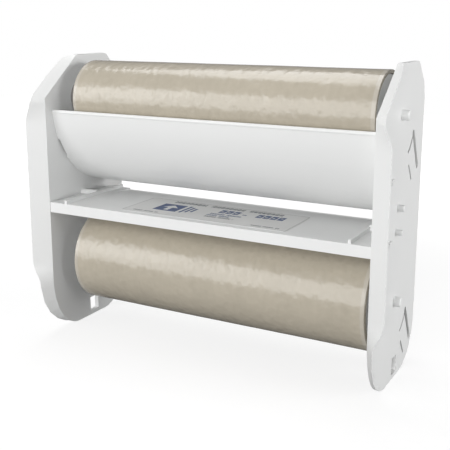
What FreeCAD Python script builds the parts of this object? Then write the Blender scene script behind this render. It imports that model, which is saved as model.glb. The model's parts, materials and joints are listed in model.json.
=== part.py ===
"""Twin-roll film cartridge: two white end plates tied together by a curved film shield and a
feed tray, with one film roll above and one below the paper gap.

Millimetres. X runs along the rolls, -Y is the front where paper is fed in, +Z is up. The origin
is the middle of the footprint, on the surface that the cartridge stands on.
"""
import FreeCAD
import Part
import math
import os
from FreeCAD import Vector

# ------------------------------------------------------------------ driving dimensions

# film and rolls
film_width = 228.6            # nine inch film
left_gap = 14.2               # film end to the left end plate: room for the drag spring
right_gap = 5.2               # film end to the right end plate
upper_core_radius = 25.4
upper_film_depth = 2.4        # film wound on the core, from the core to the outside
lower_core_radius = 31.0
lower_film_depth = 4.0
lower_axis_back = 43.0        # roll axis behind the plates' front edge
lower_roll_floor_gap = 20.5
core_wall = 3.2
core_inset = 2.8              # the film overhangs its core at both ends

# end plates
plate_thickness = 3.4
plate_depth = 90.0
plate_above_roll = 4.0        # the plates' top above the upper roll
toe_depth = 29.0              # rounded front foot
toe_height = 41.0
heel_radius = 30.5            # rounded rear foot
brow_depth = 37.2             # sloping edge from the front to the top
brow_drop = 29.7
crown_depth = 16.5            # bevelled rear top corner, in two facets
crown_drop = 25.4
crown_knee_depth = 3.0
crown_knee_drop = 14.4
crown_round = 7.0
flange_thickness = 2.2        # flared hand flange along the front edge
flange_out = 12.5             # how far it stands outward and forward at full size
flange_forward = 7.7
flange_above_toe = 16.0       # it has its full size from here, above the toe,
flange_below_brow = 18.7      # to here, below the brow's corner
flange_shoulder = 19.0        # below its full stretch it narrows over this height
flange_toe_out = 5.9          # and stands out this far at the toe
flange_shoulder_steps = 6
flange_lip_share = 0.1        # how far the rim leans back over the flange's thickness
toe_flange_fade = ((65, 0.70, 0.1), (50, 0.78, 0.4), (35, 0.85, 0.72), (20, 0.92, 0.94),
                   (6, 0.98, 1.0))      # degrees round the toe, share outward, share forward
brow_flange_out = 7.4         # along the sloping edge
brow_flange_forward = 4.8
brow_flange_fade = ((0.4, 1.0), (0.8, 0.9), (0.93, 0.6), (0.99, 0.25))   # share of the brow, scale

# moulded openings of the end plates
window_width = 10.0           # square window near the foot
window_height = 11.5
window_back = 48.0
window_sill = 3.2
finger_slot_width = 4.4       # slots that free a spring finger below each roll
finger_slot_run = 12.0
finger_slot_drop = 23.0
finger_arc_width = 2.0
finger_arc_radius = 30.0      # about the roll axis
finger_arc_angles = (-29, -60)          # degrees, from +Y towards +Z
finger_line_start = (18.5, -35.0)       # back and up from the roll axis
finger_line_end = (25.0, -44.5)

# film shield
shield_radius = 65.0          # outer face
shield_thickness = 2.2
shield_setback = 7.0          # its foremost line behind the plates' front edge
shield_roll_gap = 4.5         # between its inner face and the front of the upper roll
upper_axis_rise = 3.1         # the upper roll's axis above the shield's
feed_mouth = 7.06             # between the tray and the shield's lower end
shield_top_angle = 184.8      # degrees, from +Y towards +Z
shield_bottom_angle = 266.0
shield_bead_radius = 1.5
shield_end_slit = 1.6         # relief between its ends and the plates, either side of the tongue
shield_slit_angles = ((204.0, 224.0), (248.0, 264.0))

# feed tray
tray_roll_gap = 4.5           # the front lip above the lower roll
tray_back = 71.5
tray_setback = 0.5            # front lip behind the plates' front edge
tray_lip_height = 7.6
tray_lip_thickness = 3.0
tray_deck_thickness = 2.4
tray_ramp_start = 52.0        # the rear of the deck ramps down to the film gap
tray_ramp_drop = 1.2
tray_ramp_inset = 22.0
rail_inset = 14.0
rail_width = 2.0
rail_height = 2.5
rail_setback = 0.6            # behind the tray's front face
tray_tongue_front = 29.0      # tongue at each end of the deck that carries the locating pin
tray_tongue_back = 46.0
tray_corner_land = 8.0
tray_end_slit = 1.2
tray_rib_spacing = 31.0
tray_rib_thickness = 1.8
tray_rib_rise = 2.0           # above the bottom of the lip
tray_rib_back_gap = 2.0
tray_cheek_thickness = 5.0    # block under each tongue
tray_cheek_rise = 1.0

# label
label_width = 129.0
label_depth = 43.5
label_front = 7.0
label_thickness = 0.2
label_corner = 3.0

# pins, tabs and the roll hubs
journal_radius = 3.6          # where it turns in the plate
journal_end_radius = 3.25     # its free end, outside the plate
journal_reach = 4.9           # beyond the plate's outer face
shield_pin_root_radius = 2.6  # where it is snapped into the plate
shield_pin_radius = 2.25      # its free end
tray_pin_root_radius = 2.35
tray_pin_radius = 2.0
pin_shoulder_reach = 0.3      # the step between the two, beyond the plate's outer face
locating_pin_reach = 4.4
locating_pin_chamfer = 0.5
shield_pin_back = 41.2
tray_pin_back = 39.1
tray_pin_rise = 0.6           # above the deck
tray_pin_boss_wall = 0.45
tray_pin_root = 3.0           # inboard of the plate
tab_depth = 6.0
tab_height = 3.4
tab_reach = 1.4
tab_back = 24.5
shield_tab_rise = 7.87        # above the shield's outer face at that place
shield_boss_length = 4.0
shield_boss_above_tab = 1.0
tray_tab_drop = 0.4           # below the middle of the lip
hub_plug_length = 16.0
hub_plug_wall = 2.2
hub_flange_thickness = 2.0
hub_spine_radius = 7.0
hub_rib_thickness = 1.8
hub_rib_count = 3             # full-diameter ribs
hub_hole_radius = 2.6
hub_hole_count = 6
stub_boss_radius = 7.4        # turned stub axle at each end of a roll
stub_spigot_radius = 3.8
stub_spigot_length = 14.0
stub_chamfer = 0.7
felt_thickness = 1.5
felt_radius = 12.5
washer_thickness = 0.8
washer_radius = 12.0
thrust_ring_thickness = 1.2
spring_radius = 9.6           # to the middle of the wire
spring_wire_radius = 0.7
spring_turns = 4.5

# named clearances
running_gap = 0.06            # journal in its bore, all round
face_gap = 0.1                # between faces that turn against each other
snap_gap = 0.1                # tab or pin in the end plate, all round
flange_inside_film = 0.5      # hub flange within the overhanging film
weld = 0.5                    # how deep ribs and rails run into the wall they are moulded to
overrun = 1.0                 # how far a cut runs past the face that it starts from

# ------------------------------------------------------------------ derived frame

inner_width = film_width + left_gap + right_gap
left_face = -inner_width / 2
right_face = inner_width / 2
front = -(plate_depth + flange_forward) / 2 + flange_forward
film_left = left_face + left_gap
film_right = right_face - right_gap

lower_roll_radius = lower_core_radius + lower_film_depth
lower_axis_height = lower_roll_floor_gap + lower_roll_radius
tray_bottom = lower_axis_height + lower_roll_radius + tray_roll_gap
tray_top = tray_bottom + tray_lip_height
deck_bottom = tray_top - tray_deck_thickness
tray_tab_height = tray_bottom + tray_lip_height / 2 - tray_tab_drop
tray_pin_height = tray_top + tray_pin_rise
shield_axis_back = shield_radius + shield_setback
shield_axis_height = (tray_top + feed_mouth
                      - shield_radius * math.sin(math.radians(shield_bottom_angle)))
upper_roll_radius = upper_core_radius + upper_film_depth
upper_axis_back = shield_setback + shield_thickness + shield_roll_gap + upper_roll_radius
upper_axis_height = shield_axis_height + upper_axis_rise
plate_height = upper_axis_height + upper_roll_radius + plate_above_roll


def under_shield(radius, back):
    """Height of the lower side of a cylinder about the shield's axis, at a place front to back."""
    return shield_axis_height - math.sqrt(radius ** 2 - (shield_axis_back - back) ** 2)


shield_pin_height = under_shield(shield_radius - shield_thickness / 2, shield_pin_back)
shield_tab_height = under_shield(shield_radius, tab_back) + shield_tab_rise


def at(x, back, height):
    """A point given by its distance behind the plates' front edge."""
    return Vector(x, front + back, height)


def box(x1, x2, back1, back2, z1, z2):
    return Part.makeBox(x2 - x1, back2 - back1, z2 - z1, at(x1, back1, z1))


def rod(radius, x1, x2, back, height):
    return Part.makeCylinder(radius, x2 - x1, at(x1, back, height), Vector(1, 0, 0))


def ring(outer, inner, x1, x2, back, height):
    hole = rod(inner, x1 - overrun, x2 + overrun, back, height)
    return rod(outer, x1, x2, back, height).cut(hole)


def chamfered_rod(radius, chamfer, x1, x2, back, height):
    """A rod whose far end, at x2, is chamfered."""
    sign = 1 if x2 > x1 else -1
    along = Vector(sign, 0, 0)
    body = Part.makeCylinder(radius, abs(x2 - x1) - chamfer, at(x1, back, height), along)
    nose_start = at(x2 - sign * chamfer, back, height)
    return body.fuse(Part.makeCone(radius, radius - chamfer, chamfer, nose_start, along))


def stepped_pin(root_radius, radius, chamfer, start, side, reach, back, height):
    """A pin through an end plate: its root steps down to the free end just outside the plate."""
    outer_face = side * (inner_width / 2 + plate_thickness)
    shoulder = outer_face + side * pin_shoulder_reach
    root = rod(root_radius, *sorted((start, shoulder)), back, height)
    end = outer_face + side * reach
    return root.fuse(chamfered_rod(radius, chamfer, shoulder, end, back, height))


def fused(shapes):
    whole = shapes[0].multiFuse(shapes[1:]) if len(shapes) > 1 else shapes[0]
    return whole.removeSplitter()


def mirrored(shape):
    return shape.mirror(Vector(0, 0, 0), Vector(1, 0, 0))


# ------------------------------------------------------------------ end plates

brow_angle = math.atan2(brow_drop, brow_depth)
brow_normal = (-math.sin(brow_angle), math.cos(brow_angle))
brow_corner_height = plate_height - brow_drop


def toe_point(angle):
    """Point and outward normal on the elliptic toe, angle 0 at the straight front edge."""
    c, s = math.cos(math.radians(angle)), math.sin(math.radians(angle))
    normal = Vector(0, -c / toe_depth, -s / toe_height).normalize()
    return toe_depth * (1 - c), toe_height * (1 - s), (normal.y, normal.z)


def plate_outline(x):
    """The end plate's closed outline in the plane at x."""
    heel_mid = heel_radius * (1 - math.sqrt(0.5))
    toe_mid = toe_point(45)
    toe = Part.Ellipse(at(x, toe_depth, 0), at(x, 0, toe_height), at(x, toe_depth, toe_height))
    lines = [
        ((0, toe_height), (0, brow_corner_height)),
        ((0, brow_corner_height), (brow_depth, plate_height)),
        ((brow_depth, plate_height), (plate_depth - crown_depth, plate_height)),
        ((plate_depth - crown_depth, plate_height),
         (plate_depth - crown_knee_depth, plate_height - crown_knee_drop)),
        ((plate_depth - crown_knee_depth, plate_height - crown_knee_drop),
         (plate_depth, plate_height - crown_drop)),
        ((plate_depth, plate_height - crown_drop), (plate_depth, heel_radius)),
        ((plate_depth - heel_radius, 0), (toe_depth, 0)),
    ]
    edges = [Part.makeLine(at(x, *a), at(x, *b)) for a, b in lines]
    edges.append(Part.Arc(at(x, plate_depth, heel_radius),
                          at(x, plate_depth - heel_mid, heel_mid),
                          at(x, plate_depth - heel_radius, 0)).toShape())
    first = toe.parameter(at(x, toe_depth, 0))
    last = toe.parameter(at(x, 0, toe_height))
    middle = toe.parameter(at(x, toe_mid[0], toe_mid[1]))
    if not min(first, last) < middle < max(first, last):
        first, last = max(first, last), min(first, last) + 2 * math.pi
    edges.append(Part.Edge(toe, min(first, last), max(first, last)))
    return Part.Wire(Part.__sortEdges__(edges))


def eased(share):
    """A smooth step from 0 to 1."""
    return share * share * (3 - 2 * share)


def flange_stations():
    """(back, height, normal, outward, forward) along the front edge, from the toe to the brow."""
    stations = [(*toe_point(angle), flange_toe_out * out, flange_forward * forward)
                for angle, out, forward in toe_flange_fade]
    ahead = (-1.0, 0.0)
    low = toe_height + flange_above_toe
    high = brow_corner_height - flange_below_brow
    steps = [index / flange_shoulder_steps for index in range(flange_shoulder_steps)]
    for share in steps:
        out = flange_toe_out + (flange_out - flange_toe_out) * eased(share)
        stations.append((0.0, low - flange_shoulder * (1 - share), ahead, out, flange_forward))
    stations.append((0.0, low, ahead, flange_out, flange_forward))
    for share in steps:
        out = flange_out + (brow_flange_out - flange_out) * eased(share)
        stations.append((0.0, high + flange_below_brow * share, ahead, out, flange_forward))
    half = (math.pi / 2 - brow_angle) / 2
    bisector = (-math.cos(half), math.sin(half))
    stations.append((0.0, brow_corner_height, bisector, brow_flange_out,
                     brow_flange_forward / math.cos(half)))
    for share, scale in brow_flange_fade:
        stations.append((brow_depth * share, brow_corner_height + brow_drop * share, brow_normal,
                         brow_flange_out * scale, brow_flange_forward * scale * scale))
    return stations


def flange(face):
    """The flared flange of the left plate: a band that opens outward and forward."""
    sections = []
    for back, height, (ny, nz), out, forward in flange_stations():
        length = math.hypot(out, forward)
        step_out = flange_thickness * forward / length
        step_in = flange_thickness * out / length

        def corner(outward, ahead):
            return at(face - outward, back + ny * ahead, height + nz * ahead)

        rim = corner(out + step_out * flange_lip_share, forward - step_in)
        loop = [corner(0, 0), corner(out, forward), rim, corner(step_out, -step_in)]
        sections.append(Part.makePolygon(loop + [loop[0]]))
    return Part.makeLoft(sections, True, True)


def slot_cutter(start, end, width):
    """A round-ended slot through the left plate, between two (back, height) places."""
    run, rise = end[0] - start[0], end[1] - start[1]
    length = math.hypot(run, rise)
    depth = plate_thickness + 2 * overrun
    bar = Part.makeBox(depth, length, width, Vector(0, 0, -width / 2))
    ends = [Part.makeCylinder(width / 2, depth, Vector(0, y, 0), Vector(1, 0, 0))
            for y in (0, length)]
    slot = bar.multiFuse(ends)
    slot.rotate(Vector(0, 0, 0), Vector(1, 0, 0), math.degrees(math.atan2(rise, run)))
    slot.translate(at(left_face - plate_thickness - overrun, *start))
    return slot


def finger_cutters(axis_back, axis_height):
    """Three slots below and behind a roll axis that leave a spring finger between them."""
    first, last = finger_arc_angles
    depth = plate_thickness + 2 * overrun
    x = left_face - plate_thickness - overrun
    outer = finger_arc_radius + finger_arc_width / 2
    inner = finger_arc_radius - finger_arc_width / 2
    arc = Part.makeCylinder(outer, depth, Vector(0, 0, 0), Vector(0, 0, 1), first - last)
    arc = arc.cut(Part.makeCylinder(inner, depth, Vector(0, 0, 0), Vector(0, 0, 1)))
    arc.rotate(Vector(0, 0, 0), Vector(1, 1, 1), 120)       # from the Z axis onto the X axis
    arc.rotate(Vector(0, 0, 0), Vector(1, 0, 0), last)
    arc.translate(at(x, axis_back, axis_height))

    def beside(back, up):
        return axis_back + back, axis_height + up

    arc_end = math.radians(first)
    wide_back = finger_arc_radius * math.cos(arc_end)
    wide_up = finger_arc_radius * math.sin(arc_end)
    wide = slot_cutter(beside(wide_back, wide_up),
                       beside(wide_back + finger_slot_run, wide_up - finger_slot_drop),
                       finger_slot_width)
    narrow = slot_cutter(beside(*finger_line_start), beside(*finger_line_end), finger_arc_width)
    return [arc, wide, narrow]


def end_plate():
    """The left end plate, inner face at left_face."""
    outer_face = left_face - plate_thickness
    plate = Part.Face(plate_outline(outer_face)).extrude(Vector(plate_thickness, 0, 0))
    crown = [(plate_depth - crown_depth, plate_height),
             (plate_depth - crown_knee_depth, plate_height - crown_knee_drop),
             (plate_depth, plate_height - crown_drop)]
    rounded = []
    for edge in plate.Edges:
        low, high = edge.Vertexes[0].Point, edge.Vertexes[-1].Point
        across = abs(low.y - high.y) < 1e-6 and abs(low.z - high.z) < 1e-6
        if across and any((at(low.x, *place) - low).Length < 1e-6 for place in crown):
            rounded.append(edge)
    plate = plate.makeFillet(crown_round, rounded)
    plate = fused([plate, flange(left_face)])
    cutters = finger_cutters(upper_axis_back, upper_axis_height)
    cutters += finger_cutters(lower_axis_back, lower_axis_height)
    start, end = outer_face - overrun, left_face + overrun
    cutters.append(box(start, end, window_back - window_width / 2,
                       window_back + window_width / 2, window_sill, window_sill + window_height))
    bores = [(upper_axis_back, upper_axis_height, journal_radius + running_gap),
             (lower_axis_back, lower_axis_height, journal_radius + running_gap),
             (shield_pin_back, shield_pin_height, shield_pin_root_radius + snap_gap),
             (tray_pin_back, tray_pin_height, tray_pin_root_radius + snap_gap)]
    for back, height, radius in bores:
        cutters.append(rod(radius, start, end, back, height))
    half_depth = tab_depth / 2 + snap_gap
    half_height = tab_height / 2 + snap_gap
    for height in (shield_tab_height, tray_tab_height):
        cutters.append(box(start, end, tab_back - half_depth, tab_back + half_depth,
                           height - half_height, height + half_height))
    return plate.cut(cutters[0].multiFuse(cutters[1:]))


# ------------------------------------------------------------------ film shield

def shield_place(radius, angle):
    a = math.radians(angle)
    return shield_axis_back + radius * math.cos(a), shield_axis_height + radius * math.sin(a)


def end_slits(inner_radius):
    """Cutters for the relief slits in both ends of the shield."""
    cutters = []
    for start, end in shield_slit_angles:
        for x in (left_face - overrun, right_face - shield_end_slit):
            length = shield_end_slit + overrun
            whole = ring(shield_radius + overrun, inner_radius, x, x + length, shield_axis_back,
                         shield_axis_height)
            sector = [(shield_axis_back, shield_axis_height)]
            sector += [shield_place(2 * shield_radius, angle) for angle in (start, end)]
            corners = [at(x - overrun, *place) for place in sector]
            wedge = Part.Face(Part.makePolygon(corners + [corners[0]]))
            cutters.append(whole.common(wedge.extrude(Vector(length + 2 * overrun, 0, 0))))
    return fused(cutters)


def shield_shell(inner_radius):
    """The shell itself, with a bead along both long edges."""
    mean_angle = (shield_top_angle + shield_bottom_angle) / 2
    points = {}
    for name, radius in (("outer", shield_radius), ("inner", inner_radius)):
        for place, angle in (("top", shield_top_angle), ("mid", mean_angle),
                             ("bottom", shield_bottom_angle)):
            points[name, place] = at(left_face, *shield_place(radius, angle))
    edges = [
        Part.Arc(*(points["outer", place] for place in ("top", "mid", "bottom"))).toShape(),
        Part.makeLine(points["outer", "bottom"], points["inner", "bottom"]),
        Part.Arc(*(points["inner", place] for place in ("bottom", "mid", "top"))).toShape(),
        Part.makeLine(points["inner", "top"], points["outer", "top"]),
    ]
    pieces = [Part.Face(Part.Wire(edges)).extrude(Vector(inner_width, 0, 0))]
    for angle in (shield_top_angle, shield_bottom_angle):
        pieces.append(rod(shield_bead_radius, left_face, right_face,
                          *shield_place((shield_radius + inner_radius) / 2, angle)))
    return fused(pieces)


def film_shield():
    """Quarter-round shell under and in front of the upper roll, snapped between the plates."""
    inner_radius = shield_radius - shield_thickness
    tab_front, tab_rear = tab_back - tab_depth / 2, tab_back + tab_depth / 2
    tab_low, tab_high = shield_tab_height - tab_height / 2, shield_tab_height + tab_height / 2
    boss_foot = under_shield((shield_radius + inner_radius) / 2, tab_rear)
    within_shell = rod(shield_radius, left_face, right_face, shield_axis_back, shield_axis_height)
    body = shield_shell(inner_radius).cut(end_slits(inner_radius))
    bosses, ends = [], []
    for sign in (-1, 1):
        face = sign * inner_width / 2
        inside = face - sign * shield_boss_length
        tip = face + sign * (plate_thickness + tab_reach)
        bosses.append(box(*sorted((inside, face)), tab_front, tab_rear, boss_foot,
                          tab_high + shield_boss_above_tab))
        bosses.append(rod(shield_pin_root_radius, *sorted((inside, face)), shield_pin_back,
                          shield_pin_height))
        ends.append(box(*sorted((inside, tip)), tab_front, tab_rear, tab_low, tab_high))
        ends.append(stepped_pin(shield_pin_root_radius, shield_pin_radius, locating_pin_chamfer,
                                face, sign, locating_pin_reach, shield_pin_back,
                                shield_pin_height))
    return fused([body, *(boss.common(within_shell) for boss in bosses), *ends])


# ------------------------------------------------------------------ feed tray

def tray_deck():
    """Deck with the front lip and the sloping rear part, the length of the gap between plates."""
    deck = box(left_face, right_face, tray_setback, tray_back, deck_bottom, tray_top)
    ramp_end = tray_back + overrun
    ramp_slope = tray_ramp_drop / (tray_back - tray_ramp_start)
    profile = [(tray_ramp_start, tray_top), (ramp_end, tray_top),
               (ramp_end, tray_top - ramp_slope * (ramp_end - tray_ramp_start))]
    corners = [at(left_face + tray_ramp_inset, *place) for place in profile]
    wedge = Part.Face(Part.makePolygon(corners + [corners[0]]))
    deck = deck.cut(wedge.extrude(Vector(inner_width - 2 * tray_ramp_inset, 0, 0)))
    for sign in (-1, 1):
        face = sign * inner_width / 2
        low, high = sorted((face - sign * tray_end_slit, face + sign * overrun))
        for start, end in ((tray_corner_land, tray_tongue_front),
                           (tray_tongue_back, tray_back - tray_corner_land / 2)):
            deck = deck.cut(box(low, high, start, end, deck_bottom - overrun, tray_top + overrun))
    return deck


def feed_tray():
    """Deck, lip, ribs below and guide rails above, with the tongues, tabs and pins at its ends."""
    lip_rear = tray_setback + tray_lip_thickness
    into_deck = deck_bottom + weld
    pieces = [tray_deck(),
              box(left_face, right_face, tray_setback, lip_rear, tray_bottom, tray_top)]
    count = int((inner_width - 2 * rail_inset) // tray_rib_spacing)
    for index in range(count + 1):
        x = (index - count / 2) * tray_rib_spacing
        pieces.append(box(x - tray_rib_thickness / 2, x + tray_rib_thickness / 2, lip_rear - weld,
                          tray_back - tray_rib_back_gap, tray_bottom + tray_rib_rise, into_deck))
    tab_front, tab_rear = tab_back - tab_depth / 2, tab_back + tab_depth / 2
    for sign in (-1, 1):
        face = sign * inner_width / 2
        rail = face - sign * rail_inset
        pieces.append(box(rail - rail_width / 2, rail + rail_width / 2,
                          tray_setback + rail_setback, tray_back, into_deck,
                          tray_top + rail_height))
        cheek = sorted((face - sign * tray_cheek_thickness, face))
        pieces.append(box(*cheek, tab_front, tray_tongue_back, tray_bottom + tray_cheek_rise,
                          into_deck))
        boss = sorted((rail, face))
        pieces.append(rod(tray_pin_root_radius + tray_pin_boss_wall, *boss, tray_pin_back,
                          tray_pin_height))
        root = face - sign * tray_pin_root
        tip = face + sign * (plate_thickness + tab_reach)
        pieces.append(box(*sorted((root, tip)), tab_front, tab_rear,
                          tray_tab_height - tab_height / 2, tray_tab_height + tab_height / 2))
        pieces.append(stepped_pin(tray_pin_root_radius, tray_pin_radius, locating_pin_chamfer,
                                  root, sign, locating_pin_reach, tray_pin_back,
                                  tray_pin_height))
    return fused(pieces)


def tray_label():
    sheet = box(-label_width / 2, label_width / 2, label_front, label_front + label_depth,
                tray_top, tray_top + label_thickness)
    upright = [edge for edge in sheet.Edges
               if abs(edge.Vertexes[0].Z - edge.Vertexes[-1].Z) > label_thickness / 2]
    return sheet.makeFillet(label_corner, upright)


# ------------------------------------------------------------------ rolls

def film_winding(roll_radius, core_radius, back, height):
    return ring(roll_radius, core_radius, film_left, film_right, back, height)


def core_tube(core_radius, back, height):
    return ring(core_radius, core_radius - core_wall, film_left + core_inset,
                film_right - core_inset, back, height)


class RollEnd:
    """Places along X at one end of a roll. side is -1 for the left end and 1 for the right."""

    def __init__(self, side):
        gap = left_gap if side < 0 else right_gap
        stop = felt_thickness + face_gap + washer_thickness if side < 0 else thrust_ring_thickness
        self.side = side
        self.plate = side * inner_width / 2
        self.core = self.plate - side * (gap + core_inset)
        self.plug = self.core - side * hub_plug_length
        self.flange = self.core + side * hub_flange_thickness
        self.boss = self.plate - side * (stop + face_gap)
        self.spigot = self.flange - side * stub_spigot_length


def hub(side, core_radius, back, height):
    """Moulded plug in the core's end: flange, ribs and a spine bored for the stub axle."""
    end = RollEnd(side)
    bore = core_radius - core_wall
    wall = ring(bore, bore - hub_plug_wall, *sorted((end.plug, end.core)), back, height)
    flange_radius = core_radius - flange_inside_film
    collar = rod(flange_radius, *sorted((end.core, end.flange)), back, height)
    spine = rod(hub_spine_radius, *sorted((end.plug, end.core)), back, height)
    pieces = [collar, wall, spine]
    reach = bore - hub_plug_wall / 2
    for index in range(hub_rib_count):
        rib = Part.makeBox(hub_plug_length, 2 * reach, hub_rib_thickness,
                           Vector(min(end.plug, end.core), -reach, -hub_rib_thickness / 2))
        rib.rotate(Vector(0, 0, 0), Vector(1, 0, 0), 180 * index / hub_rib_count)
        rib.translate(at(0, back, height))
        pieces.append(rib)
    holes = [rod(stub_spigot_radius, *sorted((end.spigot, end.flange + side * overrun)), back,
                 height)]
    ring_radius = (hub_spine_radius + bore - hub_plug_wall) / 2
    for index in range(hub_hole_count):
        a = 2 * math.pi * (index + 0.5) / hub_hole_count
        holes.append(rod(hub_hole_radius,
                         *sorted((end.core - side * overrun, end.flange + side * overrun)),
                         back + ring_radius * math.cos(a), height + ring_radius * math.sin(a)))
    return fused(pieces).cut(holes[0].multiFuse(holes[1:]))


def stub_axle(side, back, height):
    """Spigot in the hub, boss against it, and the journal that turns in the end plate."""
    end = RollEnd(side)
    spigot = rod(stub_spigot_radius, *sorted((end.spigot, end.flange)), back, height)
    boss = rod(stub_boss_radius, *sorted((end.flange, end.boss)), back, height)
    journal = stepped_pin(journal_radius, journal_end_radius, stub_chamfer, end.boss, side,
                          journal_reach, back, height)
    return fused([boss, spigot, journal])


def felt_washer(back, height):
    return ring(felt_radius, journal_radius + face_gap, left_face, left_face + felt_thickness,
                back, height)


def spring_washer(back, height):
    start = left_face + felt_thickness + face_gap
    return ring(washer_radius, stub_boss_radius + face_gap, start, start + washer_thickness,
                back, height)


def thrust_ring(back, height):
    return ring(stub_boss_radius, journal_radius + face_gap, right_face - thrust_ring_thickness,
                right_face, back, height)


def drag_spring(back, height):
    """Coil spring between the steel washer and the left hub's flange."""
    start = left_face + felt_thickness + face_gap + washer_thickness + spring_wire_radius
    end = film_left + core_inset - hub_flange_thickness - spring_wire_radius
    length = end - start
    helix = Part.makeHelix(length / spring_turns, length, spring_radius)
    profile = Part.Wire(Part.makeCircle(spring_wire_radius, Vector(spring_radius, 0, 0),
                                        Vector(0, 1, 0)))
    coil = Part.Wire(helix).makePipeShell([profile], True, True)
    coil.rotate(Vector(0, 0, 0), Vector(0, 1, 0), 90)
    coil.translate(at(start, back, height))
    return coil


# ------------------------------------------------------------------ assembly

def assemble():
    upper = (upper_axis_back, upper_axis_height)
    lower = (lower_axis_back, lower_axis_height)
    left_plate = end_plate()
    nodes = {
        "left_end_plate": left_plate,
        "right_end_plate": mirrored(left_plate),
        "upper_film_shield": film_shield(),
        "feed_tray": feed_tray(),
        "tray_label": tray_label(),
    }
    rolls = (("upper", upper, upper_roll_radius, upper_core_radius),
             ("lower", lower, lower_roll_radius, lower_core_radius))
    for name, axis, roll_radius, core_radius in rolls:
        nodes[f"{name}_film_winding"] = film_winding(roll_radius, core_radius, *axis)
        nodes[f"{name}_core_tube"] = core_tube(core_radius, *axis)
        nodes[f"{name}_left_hub"] = hub(-1, core_radius, *axis)
        nodes[f"{name}_right_hub"] = hub(1, core_radius, *axis)
        nodes[f"{name}_left_stub_axle"] = stub_axle(-1, *axis)
        nodes[f"{name}_right_stub_axle"] = stub_axle(1, *axis)
        nodes[f"{name}_felt_washer"] = felt_washer(*axis)
        nodes[f"{name}_spring_washer"] = spring_washer(*axis)
        nodes[f"{name}_drag_spring"] = drag_spring(*axis)
        nodes[f"{name}_thrust_ring"] = thrust_ring(*axis)
    return nodes


os.makedirs("parts", exist_ok=True)
for node, shape in assemble().items():
    if not shape.isValid() or shape.Volume <= 0:
        raise ValueError(f"{node} is not a valid solid")
    shape.exportStep(f"parts/{node}.step")
    limits = shape.BoundBox
    print(f"{node:22s} {len(shape.Solids)} solid  volume {shape.Volume:9.1f}  "
          f"x {limits.XMin:7.2f} {limits.XMax:7.2f}  y {limits.YMin:7.2f} {limits.YMax:7.2f}  "
          f"z {limits.ZMin:7.2f} {limits.ZMax:7.2f}")
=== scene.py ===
"""Looks of a twin-roll film cartridge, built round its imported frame.

Metres. X runs along the rolls, -Y is the front where the sheet is fed in, +Z is up.
"""
import json
import math

import bpy
from bpy.props import FloatProperty, FloatVectorProperty, IntProperty, PointerProperty
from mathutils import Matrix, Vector, noise


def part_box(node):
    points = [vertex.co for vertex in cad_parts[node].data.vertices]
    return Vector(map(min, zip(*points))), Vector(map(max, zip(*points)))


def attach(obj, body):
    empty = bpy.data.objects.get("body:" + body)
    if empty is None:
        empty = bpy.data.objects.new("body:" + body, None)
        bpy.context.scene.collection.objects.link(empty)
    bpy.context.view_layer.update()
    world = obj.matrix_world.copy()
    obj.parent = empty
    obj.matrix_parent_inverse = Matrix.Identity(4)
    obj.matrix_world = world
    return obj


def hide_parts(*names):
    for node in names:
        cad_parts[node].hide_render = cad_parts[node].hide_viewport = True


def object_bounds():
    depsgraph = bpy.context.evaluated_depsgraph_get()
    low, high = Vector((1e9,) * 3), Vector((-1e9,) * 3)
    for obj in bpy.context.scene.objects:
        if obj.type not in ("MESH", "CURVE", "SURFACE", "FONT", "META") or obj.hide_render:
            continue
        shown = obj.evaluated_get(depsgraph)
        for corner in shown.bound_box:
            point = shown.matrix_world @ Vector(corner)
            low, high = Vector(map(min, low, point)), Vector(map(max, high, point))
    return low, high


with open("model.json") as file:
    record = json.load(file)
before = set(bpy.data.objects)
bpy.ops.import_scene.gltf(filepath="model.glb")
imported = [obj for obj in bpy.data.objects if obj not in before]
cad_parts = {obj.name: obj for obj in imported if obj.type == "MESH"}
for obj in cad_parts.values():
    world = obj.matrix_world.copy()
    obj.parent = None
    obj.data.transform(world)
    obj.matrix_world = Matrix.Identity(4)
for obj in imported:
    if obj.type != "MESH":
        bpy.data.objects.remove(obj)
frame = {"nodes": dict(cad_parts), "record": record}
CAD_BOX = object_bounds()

bl_info = {
    "name": "Film Cartridge",
    "version": (1, 0, 0),
    "blender": (4, 5, 0),
    "location": "View3D > Sidebar > Film Cartridge",
    "description": "Builds the end plates, shield, tray, film rolls and studio of a film cartridge",
    "category": "Object",
}

ROLLS = ("upper", "lower")
SIDES = ("left", "right")
MM = 0.001

# Places of a Mix node's colour sockets, which share their names with its other kinds.
MIX_FIRST, MIX_SECOND, MIX_RESULT = 6, 7, 2

WELD = 0.001 * MM
SMOOTH_ANGLE = math.radians(35)


# ------------------------------------------------------------------ places read from the frame

def span(node):
    """Lowest and highest corner of a node."""
    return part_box(node)


def middle(node):
    low, high = span(node)
    return (low + high) / 2


def roll_axis(roll):
    """Centre of a roll's winding: a point on its axis."""
    return middle(f"{roll}_film_winding")


def roll_radius(roll):
    low, high = span(f"{roll}_film_winding")
    return (high.z - low.z) / 2


def core_radius(roll):
    low, high = span(f"{roll}_core_tube")
    return (high.z - low.z) / 2


# ------------------------------------------------------------------ shader maths

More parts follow.
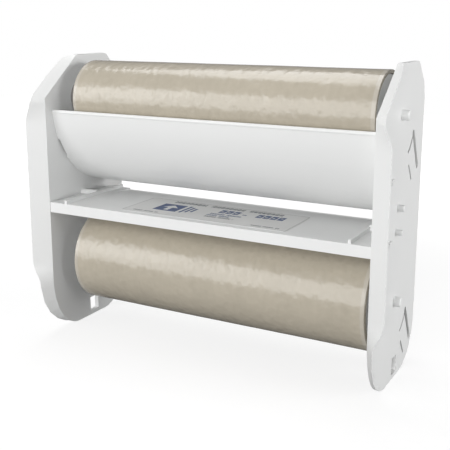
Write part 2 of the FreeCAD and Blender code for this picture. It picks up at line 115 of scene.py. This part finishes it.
class Value:
    """A shader socket that adds Math nodes when Python arithmetic is done on it."""

    def __init__(self, finish, socket):
        self.finish = finish
        self.socket = socket

    def _math(self, operation, *inputs):
        node = self.finish.add("ShaderNodeMath", {"operation": operation}, dict(enumerate(inputs)))
        return Value(self.finish, node.outputs[0])

    def __add__(self, other):
        return self._math("ADD", self, other)

    __radd__ = __add__

    def __sub__(self, other):
        return self._math("SUBTRACT", self, other)

    def __rsub__(self, other):
        return self._math("SUBTRACT", other, self)

    def __mul__(self, other):
        return self._math("MULTIPLY", self, other)

    __rmul__ = __mul__

    def __truediv__(self, other):
        return self._math("DIVIDE", self, other)

    def below(self, limit):
        """1 where the value is under the limit, else 0."""
        return self._math("LESS_THAN", self, limit)

    def above(self, limit):
        return self._math("GREATER_THAN", self, limit)

    def size(self):
        return self._math("ABSOLUTE", self)

    def root(self):
        return self._math("SQRT", self)

    def sine(self):
        return self._math("SINE", self)

    def fraction(self):
        return self._math("FRACT", self)

    def or_more(self, other):
        return self._math("MAXIMUM", self, other)

    def or_less(self, other):
        return self._math("MINIMUM", self, other)

    def angle_with(self, other):
        return self._math("ARCTAN2", self, other)

    def ramp(self, low, high, to_low=0.0, to_high=1.0):
        """The value's range low to high, spread smoothly over to_low to to_high."""
        node = self.finish.add("ShaderNodeMapRange", {"interpolation_type": "SMOOTHSTEP"},
                               {"Value": self, "From Min": low, "From Max": high,
                                "To Min": to_low, "To Max": to_high})
        return Value(self.finish, node.outputs["Result"])


class Network:
    """A node tree whose nodes all come from one method."""

    def __init__(self, tree):
        self.tree = tree

    def add(self, kind, settings, sockets):
        """Adds a node: its settings first, then a value or a link for each named socket."""
        node = self.tree.nodes.new(kind)
        for name, value in settings.items():
            setattr(node, name, value)
        for name, value in sockets.items():
            socket = node.inputs[name]
            if isinstance(value, Value):
                self.tree.links.new(value.socket, socket)
            elif isinstance(value, bpy.types.NodeSocket):
                self.tree.links.new(value, socket)
            else:
                socket.default_value = value
        return node


class Finish(Network):
    """One material: its shader, and the patterns that feed it."""

    def __init__(self, name, colour, roughness, metallic=0.0, **constants):
        self.material = bpy.data.materials.new(name)
        self.material.use_nodes = True
        self.material.diffuse_color = (*colour, 1.0)
        super().__init__(self.material.node_tree)
        self.shader = self.tree.nodes["Principled BSDF"]
        self.shader.inputs["Base Color"].default_value = (*colour, 1.0)
        self.shader.inputs["Roughness"].default_value = roughness
        self.shader.inputs["Metallic"].default_value = metallic
        for name, value in constants.items():
            self.socket(name).default_value = value

    def socket(self, name):
        """The shader's socket of a keyword such as specular_ior_level."""
        return self.shader.inputs[name.replace("_", " ").title().replace("Ior", "IOR")]

    def object_place(self, centre=(0.0, 0.0, 0.0), scale=(1.0, 1.0, 1.0)):
        """Object coordinates counted from centre, stretched by scale."""
        source = self.add("ShaderNodeTexCoord", {}, {}).outputs["Object"]
        moved = self.add("ShaderNodeVectorMath", {"operation": "SUBTRACT"}, {0: source, 1: centre})
        grown = self.add("ShaderNodeVectorMath", {"operation": "MULTIPLY"},
                         {0: moved.outputs[0], 1: scale})
        return grown.outputs[0]

    def parts_of(self, vector):
        """The X, Y and Z of a vector socket as three values."""
        node = self.add("ShaderNodeSeparateXYZ", {}, {"Vector": vector})
        return [Value(self, socket) for socket in node.outputs]

    def joined(self, x, y, z):
        return self.add("ShaderNodeCombineXYZ", {}, {"X": x, "Y": y, "Z": z}).outputs[0]

    def clouds(self, vector, scale, detail=3.0, roughness=0.5, distortion=0.0):
        """Fractal noise, 0 to 1."""
        node = self.add("ShaderNodeTexNoise", {},
                        {"Vector": vector, "Scale": scale, "Detail": detail,
                         "Roughness": roughness, "Distortion": distortion})
        return Value(self, node.outputs["Fac"])

    def blended(self, factor, first, second):
        """Colour first where factor is 0 and second where it is 1."""
        colours = {socket: tint if isinstance(tint, bpy.types.NodeSocket) else (*tint, 1.0)
                   for socket, tint in ((MIX_FIRST, first), (MIX_SECOND, second))}
        node = self.add("ShaderNodeMix", {"data_type": "RGBA"}, {"Factor": factor, **colours})
        return node.outputs[MIX_RESULT]

    def feed(self, **sockets):
        """Links shader sockets, such as base_color, to values or sockets."""
        for name, value in sockets.items():
            source = value.socket if isinstance(value, Value) else value
            self.tree.links.new(source, self.socket(name))

    def relief(self, height, distance, strength=1.0):
        """Bumps the surface by a height value, 1 standing distance metres high."""
        node = self.add("ShaderNodeBump", {}, {"Height": height, "Distance": distance,
                                               "Strength": strength})
        self.tree.links.new(node.outputs["Normal"], self.shader.inputs["Normal"])


def tinted(colour, factor):
    return tuple(channel * factor for channel in colour)


# ------------------------------------------------------------------ finishes

def moulded_plastic(name, colour, roughness, seed):
    """Satin moulded plastic: fine spark-eroded grain, faint cloudiness, a few handling marks."""
    shade = 0.035
    grain_depth = 0.02 * MM
    finish = Finish(name, colour, roughness, specular_ior_level=0.42)
    place = finish.object_place(centre=(seed, seed * 0.7, -seed))
    marks = finish.object_place(centre=(seed, 0.0, 0.0), scale=(1.0, 6.0, 1.0))
    cloud = finish.clouds(place, scale=14.0, detail=4.0)
    grain = finish.clouds(place, scale=1500.0, detail=2.0)
    pits = finish.clouds(place, scale=320.0, detail=2.0)
    scuffs = finish.clouds(marks, scale=60.0, detail=5.0, roughness=0.6).ramp(0.62, 0.74)
    tone = cloud.ramp(0.3, 0.7, -0.5, 0.5) * 0.05 + 0.5 + scuffs * 0.03
    mixed = finish.blended(tone, tinted(colour, 1 + shade), tinted(colour, 1 - shade))
    finish.feed(base_color=mixed,
                roughness=cloud * 0.1 + (roughness - 0.05) + scuffs * 0.08)
    finish.relief(grain * 0.7 + pits * 0.5, distance=grain_depth, strength=0.55)
    return finish.material


def wound_film(name, colour, roll):
    """Clear glossy film over its core: mottled, creased, paler where no core is behind it."""
    wrap = 16 * MM
    skin_depth = 0.6 * MM
    crease_depth = 0.6 * MM
    bare_film = 0.66
    bare_share = 0.4
    overhang_share = 0.45
    shade = 0.16
    finish = Finish(name, colour, 0.3, specular_ior_level=0.5, coat_weight=0.35,
                    coat_roughness=0.07)
    axis = roll_axis(roll)
    core_low, core_high = span(f"{roll}_core_tube")
    centred = finish.object_place(centre=tuple(axis))
    x, y, z = finish.parts_of(centred)
    radius = (y * y + z * z).root()
    turn = z.angle_with(y)
    around = finish.joined(x, turn.sine() * wrap, (turn + math.pi / 2).sine() * wrap)
    creases = finish.clouds(around, scale=230.0, detail=1.0, roughness=0.4)
    swell = finish.clouds(around, scale=38.0, detail=2.0)
    mottle = finish.clouds(centred, scale=240.0, detail=1.0, roughness=0.4)
    broad = finish.clouds(centred, scale=34.0, detail=2.0)
    past_core = ((x - (core_high.x - axis.x)).above(0.0)
                 + (x - (core_low.x - axis.x)).below(0.0)).or_less(1.0)
    skin = radius.above(roll_radius(roll) - skin_depth)
    layers = finish.clouds(finish.joined(radius, turn * 0.002, 0.0), scale=4200.0, detail=2.0,
                           roughness=0.7)

    tone = mottle * 0.3 + broad * 0.45 + creases * 0.25
    body = finish.blended(tone, tinted(colour, 1 - shade), tinted(colour, 1 + shade))
    pale = tuple((1 - bare_share) * channel + bare_share * bare_film for channel in colour)
    body = finish.blended(past_core * skin * overhang_share, body, pale)
    ends = finish.blended(layers.ramp(0.35, 0.65), tinted(colour, 0.8), tinted(colour, 1.12))
    finish.feed(base_color=finish.blended(skin, ends, body),
                roughness=mottle * 0.1 + 0.13 + swell * 0.06)
    crumple = (creases * 1.1 + swell * 1.3 + mottle * 0.9) * skin
    finish.relief(crumple + layers * 0.12 * (1 - skin), distance=crease_depth, strength=0.7)
    return finish.material


def wound_board(name, colour, roll):
    """Spiral-wound paperboard with its seam and fibres."""
    seam_pitch = 55 * MM
    seam_share = 0.012
    finish = Finish(name, colour, 0.85, specular_ior_level=0.2)
    axis = roll_axis(roll)
    x, y, z = finish.parts_of(finish.object_place(centre=tuple(axis)))
    turn = z.angle_with(y)
    wind = (x / seam_pitch + turn / (2 * math.pi)).fraction()
    seam = (wind - 0.5).size().below(seam_share)
    fibre = finish.clouds(finish.object_place(scale=(1.0, 3.0, 3.0)), scale=420.0, detail=5.0,
                          roughness=0.7)
    tone = finish.blended(fibre.ramp(0.3, 0.7), tinted(colour, 0.82), tinted(colour, 1.12))
    finish.feed(base_color=finish.blended(seam, tone, tinted(colour, 0.55)),
                roughness=fibre * 0.1 + 0.8)
    finish.relief(fibre - seam, distance=0.08 * MM, strength=0.7)
    return finish.material


def pressed_felt(name, colour):
    """Grey pressed felt."""
    finish = Finish(name, colour, 0.95, specular_ior_level=0.1, sheen_weight=0.4)
    fibre = finish.clouds(finish.object_place(), scale=1900.0, detail=6.0, roughness=0.75,
                          distortion=1.2)
    finish.feed(base_color=finish.blended(fibre, tinted(colour, 0.6), tinted(colour, 1.4)))
    finish.relief(fibre, distance=0.3 * MM, strength=0.8)
    return finish.material


def bright_steel(name, colour):
    """Bright steel with fine drawing lines."""
    finish = Finish(name, colour, 0.28, metallic=1.0)
    streak = finish.clouds(finish.object_place(scale=(8.0, 1.0, 1.0)), scale=700.0, detail=4.0,
                           roughness=0.6)
    stain = finish.clouds(finish.object_place(), scale=90.0, detail=3.0)
    finish.feed(base_color=finish.blended(stain.ramp(0.3, 0.7), tinted(colour, 0.85), colour),
                roughness=streak * 0.2 + 0.18)
    finish.relief(streak, distance=0.02 * MM, strength=0.4)
    return finish.material


class LabelPrint:
    """Masks for the label's print, in millimetres from the label's centre."""

    def __init__(self, x, y, half_width, half_depth):
        self.x = x
        self.y = y
        self.half_width = half_width
        self.half_depth = half_depth

    def block(self, cx, cy, width, depth):
        return (self.x - cx).size().below(width / 2) * (self.y - cy).size().below(depth / 2)

    def row(self, start, end, cy, depth, pitch, words):
        """A line of made-up marks between two places: cells cut by gaps and by word breaks."""
        mark_middle, mark_half = 0.45, 0.41
        bite_half_depth, bite_half_width = 0.1, 0.2
        word_gap = 0.14
        cell = (self.x - start) / pitch
        across = (cell.fraction() - mark_middle).size()
        # Each cell's whole number goes through a steep sine, so that its bite has its own height.
        pick = (cell - cell.fraction()) * 0.754 + cy
        notch = ((pick.sine() * 43.7).fraction() - 0.5) * 0.6
        rise = (self.y - cy) / depth
        bite = (rise - notch).size().below(bite_half_depth) * across.below(bite_half_width)
        gap = ((self.x - start) / words).fraction().below(word_gap)
        line = self.block((start + end) / 2, cy, end - start, depth)
        return line * across.below(mark_half) * (1 - bite) * (1 - gap)

    def ruled_edge(self, inset=0.9, rule=0.45):
        """A thin line that far inside the label's outline."""
        width = 2 * (self.half_width - inset)
        depth = 2 * (self.half_depth - inset)
        inside = self.block(0.0, 0.0, width, depth)
        return (1 - inside) * self.block(0.0, 0.0, width + 2 * rule, depth + 2 * rule)

    def feed_badge(self, cx=-36.0, cy=-0.5, side=19.0):
        """A square badge with a feed arrow left out of it, and three bars beside it."""
        shaft = self.block(cx, cy - 2.6, 3.8, 9.0)
        from_tip = self.y - (cy + 7.0)
        head = from_tip.below(0.0) * from_tip.above(-6.6)
        head = head * ((self.x - cx).size() + from_tip * 0.95).below(0.0)
        plate = self.block(cx, cy, side, side) * (1 - shaft.or_more(head))
        bars = [self.block(cx + 13.0 + 3.4 * step, cy, 2.0, side - 4.5 * step)
                for step in range(3)]
        return [plate, *bars]

    def headline(self):
        """Two large groups of marks with a dash between them."""
        return [self.row(start, end, cy=6.6, depth=8.4, pitch=5.4, words=40.0)
                for start, end in ((-4.0, 18.0), (25.0, 52.0))] + [self.block(21.6, 4.6, 3.4, 1.6)]

    def small_rows(self):
        """Three lines of small marks, from the top down."""
        return [self.row(-4.0, end, cy, depth=2.6, pitch=1.9, words=words)
                for end, cy, words in ((22.0, -1.6, 13.0), (16.0, -5.8, 9.5), (20.0, -10.0, 11.0))]

    def title(self):
        return self.row(-46.0, 46.0, cy=16.4, depth=4.4, pitch=3.3, words=31.0)

    def corner_notes(self):
        return [self.row(start, end, cy=-17.0, depth=2.0, pitch=1.6, words=9.0)
                for start, end in ((-58.0, -36.0), (36.0, 58.0))]


def any_of(masks):
    """1 where any of the masks is."""
    whole = masks[0]
    for mask in masks[1:]:
        whole = whole.or_more(mask)
    return whole


def printed_label(name, paper, ink, grey):
    """Label stock with a thin ruled edge, a feed arrow on a square badge and rows of marks."""
    print_depth = 0.02 * MM
    finish = Finish(name, paper, 0.5, specular_ior_level=0.3)
    low, high = span("tray_label")
    x, y, _ = finish.parts_of(finish.object_place(centre=tuple((low + high) / 2),
                                                  scale=(1 / MM,) * 3))
    layout = LabelPrint(x, y, (high.x - low.x) / 2 / MM, (high.y - low.y) / 2 / MM)
    small = layout.small_rows()
    blue = any_of([*layout.feed_badge(), *layout.headline(), *small[:2]])
    dark = any_of([layout.ruled_edge() * 0.6, small[2], layout.title(), *layout.corner_notes()])

    speck = finish.clouds(finish.object_place(), scale=1400.0, detail=3.0)
    cloud = finish.clouds(finish.object_place(), scale=30.0, detail=3.0)
    stock = finish.blended(cloud.ramp(0.3, 0.7), tinted(paper, 0.97), tinted(paper, 1.03))
    printed = finish.blended(dark * (0.7 + speck * 0.3), stock, grey)
    printed = finish.blended(blue * (0.85 + speck * 0.2).or_less(1.0), printed, ink)
    finish.feed(base_color=printed, roughness=0.42 - blue * 0.1 + speck * 0.05)
    finish.relief(blue * 0.5 + dark * 0.5 + speck * 0.15, distance=print_depth, strength=0.6)
    return finish.material


def studio_paper():
    """Pale paper, lifted for the camera so that only the contact shadow shows."""
    near, far = 0.25, 0.75
    near_glow, far_glow = 0.785, 1.0
    finish = Finish("studio paper", (0.26, 0.26, 0.26), 0.95, specular_ior_level=0.05,
                    emission_strength=1.0)
    seen = Value(finish, finish.add("ShaderNodeLightPath", {}, {}).outputs["Is Camera Ray"])
    x, y, _ = finish.parts_of(finish.object_place())
    away = (x * x + y * y).root()
    fibre = finish.clouds(finish.object_place(), scale=600.0, detail=3.0)
    finish.feed(emission_color=seen * away.ramp(near, far, near_glow, far_glow) + fibre * 0.004)
    return finish.material


def studio_air(ambient):
    """A world that is white to the camera and a dimmer soft light to the cartridge."""
    world = bpy.data.worlds.new("studio air")
    world.use_nodes = True
    network = Network(world.node_tree)
    seen = Value(network, network.add("ShaderNodeLightPath", {}, {}).outputs["Is Camera Ray"])
    level = seen * (1.0 - ambient) + ambient
    back = world.node_tree.nodes["Background"]
    back.inputs["Color"].default_value = (1.0, 1.0, 1.0, 1.0)
    world.node_tree.links.new(level.socket, back.inputs["Strength"])
    return world


# ------------------------------------------------------------------ modelling helpers

def only(obj):
    """Leaves just this object selected and active, in object mode."""
    if bpy.context.mode != "OBJECT":
        bpy.ops.object.mode_set(mode="OBJECT")
    bpy.ops.object.select_all(action="DESELECT")
    obj.select_set(True)
    bpy.context.view_layer.objects.active = obj


def settle(obj, name):
    """Names a finished piece, puts its place into its mesh and smooths its round faces."""
    only(obj)
    bpy.ops.object.transform_apply(location=True, rotation=True, scale=True)
    bpy.ops.object.shade_smooth_by_angle(angle=SMOOTH_ANGLE)
    obj.name = name
    obj.data.name = name
    return obj


def covered(obj, material):
    """Gives a piece this one material."""
    obj.data.materials.clear()
    obj.data.materials.append(material)


def body_of(node):
    bodies = frame["record"]["behaviour"]["bodies"]
    return next(body for body, members in bodies.items() if node in members)


def dressed(obj, material, node):
    """Gives a piece its material and the body of the node it stands for, and hides that node."""
    covered(obj, material)
    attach(obj, body_of(node))
    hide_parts(node)


def moulded_copy(node, name, edge_radius):
    """The node's own shape with every sharp edge rounded as a mould leaves it."""
    weld = 0.002 * MM
    flat_angle = math.radians(0.6)
    sharp_angle = math.radians(38)
    bpy.ops.object.select_all(action="DESELECT")
    obj = frame["nodes"][node].copy()
    obj.data = frame["nodes"][node].data.copy()
    for key in list(obj.keys()):
        del obj[key]
    bpy.context.scene.collection.objects.link(obj)
    obj.parent = None
    only(obj)
    bpy.ops.mesh.customdata_custom_splitnormals_clear()
    bpy.ops.object.mode_set(mode="EDIT")
    bpy.ops.mesh.select_all(action="SELECT")
    bpy.ops.mesh.remove_doubles(threshold=weld)
    bpy.ops.mesh.dissolve_limited(angle_limit=flat_angle)
    bpy.ops.object.mode_set(mode="OBJECT")
    bevel = obj.modifiers.new("mould edges", "BEVEL")
    bevel.width = edge_radius
    bevel.segments = 2
    bevel.limit_method = "ANGLE"
    bevel.angle_limit = sharp_angle
    bevel.use_clamp_overlap = True
    bpy.ops.object.modifier_apply(modifier=bevel.name)
    settle(obj, name)
    even = obj.modifiers.new("even shading", "WEIGHTED_NORMAL")
    even.keep_sharp = True
    even.weight = 100
    bpy.ops.object.modifier_apply(modifier=even.name)
    return obj


def turned(name, profile, centre, steps):
    """Spins a closed profile of (x, radius) points round the X line through centre."""
    bpy.ops.object.select_all(action="DESELECT")
    first_x, first_r = profile[0]
    bpy.ops.mesh.primitive_plane_add(size=MM, location=(first_x, centre.y, centre.z + first_r))
    obj = bpy.context.object
    bpy.ops.object.transform_apply(location=True, rotation=True, scale=True)
    bpy.ops.object.mode_set(mode="EDIT")
    bpy.ops.mesh.select_all(action="SELECT")
    bpy.ops.mesh.merge(type="CENTER")
    for (x1, r1), (x2, r2) in zip(profile, profile[1:] + profile[:1]):
        bpy.ops.mesh.extrude_region_move(
            TRANSFORM_OT_translate={"value": (x2 - x1, 0.0, r2 - r1)})
    bpy.ops.mesh.select_all(action="SELECT")
    bpy.ops.mesh.remove_doubles(threshold=WELD)
    bpy.ops.mesh.select_all(action="SELECT")
    bpy.ops.mesh.spin(steps=steps, angle=2 * math.pi, center=(0.0, centre.y, centre.z),
                      axis=(1.0, 0.0, 0.0))
    bpy.ops.mesh.select_all(action="SELECT")
    bpy.ops.mesh.remove_doubles(threshold=WELD)
    bpy.ops.mesh.normals_make_consistent(inside=False)
    bpy.ops.object.mode_set(mode="OBJECT")
    return settle(obj, name)


# ------------------------------------------------------------------ settings a user would change

class CartridgeFinishes(bpy.types.PropertyGroup):
    """Colours and surface sizes of the cartridge."""
    plastic: FloatVectorProperty(name="Plastic", description="Colour of the white mouldings",
                                 default=(0.80, 0.805, 0.80), size=3, subtype="COLOR")
    film: FloatVectorProperty(name="Film", description="Clear film seen over its tan core",
                              default=(0.465, 0.42, 0.34), size=3, subtype="COLOR")
    board: FloatVectorProperty(name="Core board", description="Wound paperboard of the cores",
                               default=(0.40, 0.30, 0.19), size=3, subtype="COLOR")
    ink: FloatVectorProperty(name="Label ink", description="Blue print of the label",
                             default=(0.022, 0.062, 0.19), size=3, subtype="COLOR")
    grey_ink: FloatVectorProperty(name="Label grey", description="Dark grey print of the label",
                                  default=(0.10, 0.11, 0.13), size=3, subtype="COLOR")
    paper: FloatVectorProperty(name="Label stock", description="Unprinted face of the label",
                               default=(0.74, 0.74, 0.73), size=3, subtype="COLOR")
    edge_radius: FloatProperty(name="Edge radius", description="Rounding of the moulded edges",
                               default=0.45 * MM, unit="LENGTH")
    slack: FloatProperty(name="Film slack", description="How far the outer film layer waves",
                         default=0.16 * MM, unit="LENGTH")


class CartridgeStudio(bpy.types.PropertyGroup):
    """Camera and lamps."""
    eye: FloatVectorProperty(name="Eye", description="Where the camera stands",
                             default=(0.2694, -0.4850, 0.2360), size=3, subtype="TRANSLATION",
                             unit="LENGTH")
    heading: FloatProperty(name="Heading", description="Turn of the camera to the left of +Y",
                           default=math.radians(28.88), subtype="ANGLE")
    tilt: FloatProperty(name="Tilt", description="How far the camera looks down",
                        default=math.radians(12.55), subtype="ANGLE")
    lens: FloatProperty(name="Lens", description="Focal length on a 36 mm wide sensor",
                        default=63.95, subtype="DISTANCE_CAMERA")
    rise: FloatProperty(name="Rise", description="Vertical shift of the lens", default=-0.064)
    floor_size: FloatProperty(name="Floor size", description="Side of the floor",
                              default=3.0, unit="LENGTH")
    ambient: FloatProperty(name="Ambient", description="Brightness of the surrounding air",
                           default=0.24)
    left_power: FloatProperty(name="Left lamp", description="Soft box ahead on the left",
                              default=2.0, unit="POWER")
    top_power: FloatProperty(name="Top lamp", description="Soft box overhead",
                             default=8.0, unit="POWER")
    fill_power: FloatProperty(name="Fill lamp", description="Broad soft box ahead",
                              default=36.0, unit="POWER")
    front_power: FloatProperty(name="Front lamp", description="Small soft box ahead",
                               default=5.0, unit="POWER")
    right_power: FloatProperty(name="Right lamp", description="Soft box at the right side",
                               default=17.0, unit="POWER")


# ------------------------------------------------------------------ operators

class CARTRIDGE_OT_end_plates(bpy.types.Operator):
    """The two end plates with moulded edges"""
    bl_idname = "cartridge.end_plates"
    bl_label = "End plates"

    def execute(self, context):
        look = context.scene.cartridge_finishes
        for seed, side in enumerate(SIDES):
            node = f"{side}_end_plate"
            plastic = moulded_plastic(f"{side} plate plastic", look.plastic, roughness=0.40,
                                      seed=1.3 + seed)
            plate = moulded_copy(node, f"{side}_plate_moulding", look.edge_radius)
            dressed(plate, plastic, node)
        return {"FINISHED"}


class CARTRIDGE_OT_film_shield(bpy.types.Operator):
    """The quarter-round film shield"""
    bl_idname = "cartridge.film_shield"
    bl_label = "Film shield"

    def execute(self, context):
        look = context.scene.cartridge_finishes
        node = "upper_film_shield"
        plastic = moulded_plastic("shield plastic", look.plastic, roughness=0.36, seed=4.1)
        shield = moulded_copy(node, "shield_moulding", look.edge_radius * 0.7)
        dressed(shield, plastic, node)
        return {"FINISHED"}


class CARTRIDGE_OT_feed_tray(bpy.types.Operator):
    """The feed tray and its printed label"""
    bl_idname = "cartridge.feed_tray"
    bl_label = "Feed tray"

    def execute(self, context):
        look = context.scene.cartridge_finishes
        node = "feed_tray"
        plastic = moulded_plastic("tray plastic", look.plastic, roughness=0.42, seed=6.7)
        tray = moulded_copy(node, "tray_moulding", look.edge_radius * 0.8)
        dressed(tray, plastic, node)
        covered(frame["nodes"]["tray_label"],
                printed_label("label print", look.paper, look.ink, look.grey_ink))
        return {"FINISHED"}


class CARTRIDGE_OT_film_windings(bpy.types.Operator):
    """The wound film of both rolls, with its layered ends and slack outer turn"""
    bl_idname = "cartridge.film_windings"
    bl_label = "Film windings"

    steps_round: IntProperty(name="Steps round", description="Faces round a roll", default=176)
    steps_along: IntProperty(name="Steps along", description="Faces along a roll", default=150)

    def profile(self, roll):
        """Closed section of the winding: layered ends, and a finely divided outside."""
        layers = 7
        step_back = 0.12 * MM
        step_spread = 0.22 * MM
        layer_gap = 0.06 * MM
        low, high = span(f"{roll}_film_winding")
        outside, inside = roll_radius(roll), core_radius(roll)
        left, right = [], []
        for index in range(layers):
            radius = inside + (outside - inside) * index / layers
            after = inside + (outside - inside) * (index + 1) / layers - layer_gap
            chance = noise.noise(Vector((index * 1.7, outside * 900, 0.3)))
            ahead = max(step_back + step_spread * chance, 0.0)
            left += [(low.x + ahead, radius), (low.x + ahead, after)]
            right += [(high.x - ahead * 0.8, radius), (high.x - ahead * 0.8, after)]
        length = high.x - low.x
        along = [(low.x + length * index / self.steps_along, outside)
                 for index in range(1, self.steps_along)]
        return left + along + list(reversed(right))

    def wave(self, obj, roll, slack):
        """Moves the outer turn in and out a little, mostly in ridges that run round the roll."""
        skin_depth = 0.4 * MM
        calm_length = 4 * MM
        ridges_per_metre, swells_per_metre = 130, 22
        axis = roll_axis(roll)
        radius = roll_radius(roll)
        low, high = span(f"{roll}_film_winding")
        offset = Vector((ROLLS.index(roll) * 7.3, 2.1, 0.0))
        for vertex in obj.data.vertices:
            y, z = vertex.co.y - axis.y, vertex.co.z - axis.z
            distance = math.hypot(y, z)
            if distance < radius - skin_depth:
                continue
            ny, nz = y / distance, z / distance
            x = vertex.co.x
            calm = min(max(min(x - low.x, high.x - x) / calm_length, 0.0), 1.0)
            ridge = noise.noise(Vector((x * ridges_per_metre, ny * 1.6, nz * 1.6)) + offset)
            swell = noise.noise(Vector((x * swells_per_metre, ny * 1.2, nz * 1.2)) - offset)
            depth = slack * calm * (0.5 + 0.35 * ridge + 0.65 * swell)
            depth = min(max(depth, 0.0), slack)
            vertex.co.y -= ny * depth
            vertex.co.z -= nz * depth

    def execute(self, context):
        look = context.scene.cartridge_finishes
        for roll in ROLLS:
            winding = turned(f"{roll}_wound_film", self.profile(roll), roll_axis(roll),
                             self.steps_round)
            self.wave(winding, roll, look.slack)
            dressed(winding, wound_film(f"{roll} film", look.film, roll), f"{roll}_film_winding")
            covered(frame["nodes"][f"{roll}_core_tube"],
                    wound_board(f"{roll} core board", look.board, roll))
        return {"FINISHED"}


class CARTRIDGE_OT_hubs(bpy.types.Operator):
    """The roll hubs, stub axles, felt, steel and nylon rings and the drag springs"""
    bl_idname = "cartridge.hubs"
    bl_label = "Hubs and drag parts"

    def execute(self, context):
        look = context.scene.cartridge_finishes
        steel = bright_steel("spring steel", (0.62, 0.62, 0.63))
        felt = pressed_felt("drag felt", (0.23, 0.22, 0.21))
        nylon = moulded_plastic("thrust ring nylon", (0.70, 0.68, 0.60), roughness=0.35, seed=9.9)
        acetal = moulded_plastic("stub axle acetal", tinted(look.plastic, 1.02), roughness=0.34,
                                 seed=13.0)
        rings = {"spring_washer": steel, "drag_spring": steel, "felt_washer": felt,
                 "thrust_ring": nylon}
        for seed, roll in enumerate(ROLLS):
            for side in SIDES:
                end = f"{roll}_{side}"
                plastic = moulded_plastic(f"{roll} {side} hub plastic", tinted(look.plastic, 0.99),
                                          roughness=0.38, seed=11.0 + seed)
                hub = moulded_copy(f"{end}_hub", f"{end}_hub_moulding", look.edge_radius * 0.6)
                dressed(hub, plastic, f"{end}_hub")
                axle = moulded_copy(f"{end}_stub_axle", f"{end}_stub_axle_turning",
                                    look.edge_radius * 0.5)
                dressed(axle, acetal, f"{end}_stub_axle")
            for part, material in rings.items():
                covered(frame["nodes"][f"{roll}_{part}"], material)
        return {"FINISHED"}


class CARTRIDGE_OT_studio(bpy.types.Operator):
    """Pale floor, soft lamps and the camera"""
    bl_idname = "cartridge.studio"
    bl_label = "Studio"

    def lamp(self, name, direction, distance, width, height, power):
        """A soft box in that direction from the middle of the cartridge, facing it."""
        low, high = (Vector(corner) for corner in CAD_BOX)
        heart = (low + high) / 2
        data = bpy.data.lights.new(name, "AREA")
        data.shape = "RECTANGLE"
        data.size = width
        data.size_y = height
        data.energy = power
        lamp = bpy.data.objects.new(name, data)
        bpy.context.scene.collection.objects.link(lamp)
        away = Vector(direction).normalized()
        lamp.location = heart + away * distance
        lamp.rotation_euler = (-away).to_track_quat("-Z", "Y").to_euler()

    def execute(self, context):
        studio = context.scene.cartridge_studio
        scene = context.scene
        scene.view_settings.view_transform = "Standard"
        bpy.ops.object.select_all(action="DESELECT")
        bpy.ops.mesh.primitive_plane_add(size=studio.floor_size, location=(0.0, 0.0, 0.0))
        floor = bpy.context.object
        floor.name = "studio_floor"
        floor.data.materials.append(studio_paper())
        scene.world = studio_air(studio.ambient)
        self.lamp("left lamp", direction=(-0.62, -0.66, 0.36), distance=1.6, width=0.5,
                  height=0.8, power=studio.left_power)
        self.lamp("top lamp", direction=(-0.28, 0.20, 0.93), distance=1.5, width=0.9,
                  height=0.9, power=studio.top_power)
        self.lamp("front lamp", direction=(0.24, -0.96, 0.12), distance=1.6, width=0.22,
                  height=0.22, power=studio.front_power)
        self.lamp("fill lamp", direction=(-0.26, -0.94, 0.26), distance=2.2, width=2.8,
                  height=1.5, power=studio.fill_power)
        self.lamp("right lamp", direction=(0.96, 0.10, 0.14), distance=1.6, width=1.1,
                  height=0.6, power=studio.right_power)

        data = bpy.data.cameras.new("camera")
        data.lens = studio.lens
        data.shift_y = studio.rise
        data.clip_start = 0.01
        camera = bpy.data.objects.new("camera", data)
        scene.collection.objects.link(camera)
        camera.location = studio.eye
        camera.rotation_euler = (math.pi / 2 - studio.tilt, 0.0, studio.heading)
        scene.camera = camera
        return {"FINISHED"}


class CARTRIDGE_PT_sidebar(bpy.types.Panel):
    """The cartridge's sizes, colours and pieces in the sidebar"""
    bl_idname = "CARTRIDGE_PT_sidebar"
    bl_label = "Film Cartridge"
    bl_space_type = "VIEW_3D"
    bl_region_type = "UI"
    bl_category = "Film Cartridge"

    def draw(self, context):
        for group, kind in ((context.scene.cartridge_finishes, CartridgeFinishes),
                            (context.scene.cartridge_studio, CartridgeStudio)):
            for name in kind.__annotations__:
                self.layout.prop(group, name)
        for operator in PIECES:
            self.layout.operator(operator.bl_idname)


PIECES = (
    CARTRIDGE_OT_end_plates,
    CARTRIDGE_OT_film_shield,
    CARTRIDGE_OT_feed_tray,
    CARTRIDGE_OT_film_windings,
    CARTRIDGE_OT_hubs,
    CARTRIDGE_OT_studio,
)
CLASSES = (CartridgeFinishes, CartridgeStudio, *PIECES, CARTRIDGE_PT_sidebar)


def register():
    for cls in CLASSES:
        bpy.utils.register_class(cls)
    bpy.types.Scene.cartridge_finishes = PointerProperty(type=CartridgeFinishes)
    bpy.types.Scene.cartridge_studio = PointerProperty(type=CartridgeStudio)


def unregister():
    del bpy.types.Scene.cartridge_studio
    del bpy.types.Scene.cartridge_finishes
    for cls in reversed(CLASSES):
        bpy.utils.unregister_class(cls)


def main():
    register()
    bpy.ops.cartridge.end_plates()
    bpy.ops.cartridge.film_shield()
    bpy.ops.cartridge.feed_tray()
    bpy.ops.cartridge.film_windings()
    bpy.ops.cartridge.hubs()
    bpy.ops.cartridge.studio()


if __name__ == "__main__":
    main()
